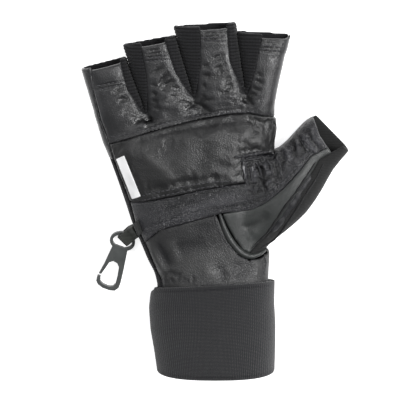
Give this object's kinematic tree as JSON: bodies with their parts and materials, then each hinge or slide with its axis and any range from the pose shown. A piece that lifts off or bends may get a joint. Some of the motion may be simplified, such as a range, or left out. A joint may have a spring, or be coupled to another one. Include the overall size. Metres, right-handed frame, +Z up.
{
  "type": "weightlifting glove",
  "caption": "Half-finger leather weightlifting glove with a padded palm, a wound elastic wrist wrap, a side label and a snap hook on a loop tab, lying palm up.",
  "frame": {"origin": "on the floor under the middle of the glove's box", "axes": "+X to the thumb's side, +Y from the wrist to the finger tips, +Z up out of the palm, back of the hand on the floor"},
  "size_m": [0.1592, 0.2126, 0.0387],
  "materials": {
    "leather": "fine-grained, slightly glossy black",
    "thumb_leather": "crumpled, slightly glossy bluish black",
    "smooth_leather": "smooth satin dark grey",
    "stretch_knit": "matt stretch knit",
    "ribbed_knit": "matt, cross-ribbed",
    "elastic": "matt woven elastic",
    "label_tape": "plain white woven tape",
    "moulded_plastic": "satin dark grey moulding"
  },
  "bodies": {
    "root": {"finger_panel": "leather", "palm_pad": "leather", "thumb_strap": "thumb_leather", "heel_panel": "leather", "thumb_panel": "smooth_leather", "thumb_piping": "smooth_leather", "thumb_back": "stretch_knit", "back_panel": "stretch_knit", "little_side_strip": "leather", "fourchette_little_ring": "ribbed_knit", "fourchette_ring_middle": "ribbed_knit", "fourchette_middle_index": "ribbed_knit", "wrist_wrap": "elastic", "wrap_closure": "elastic", "side_label": "label_tape", "snap_clip": "moulded_plastic", "clip_tab": "elastic"}
  },
  "joints": []
}
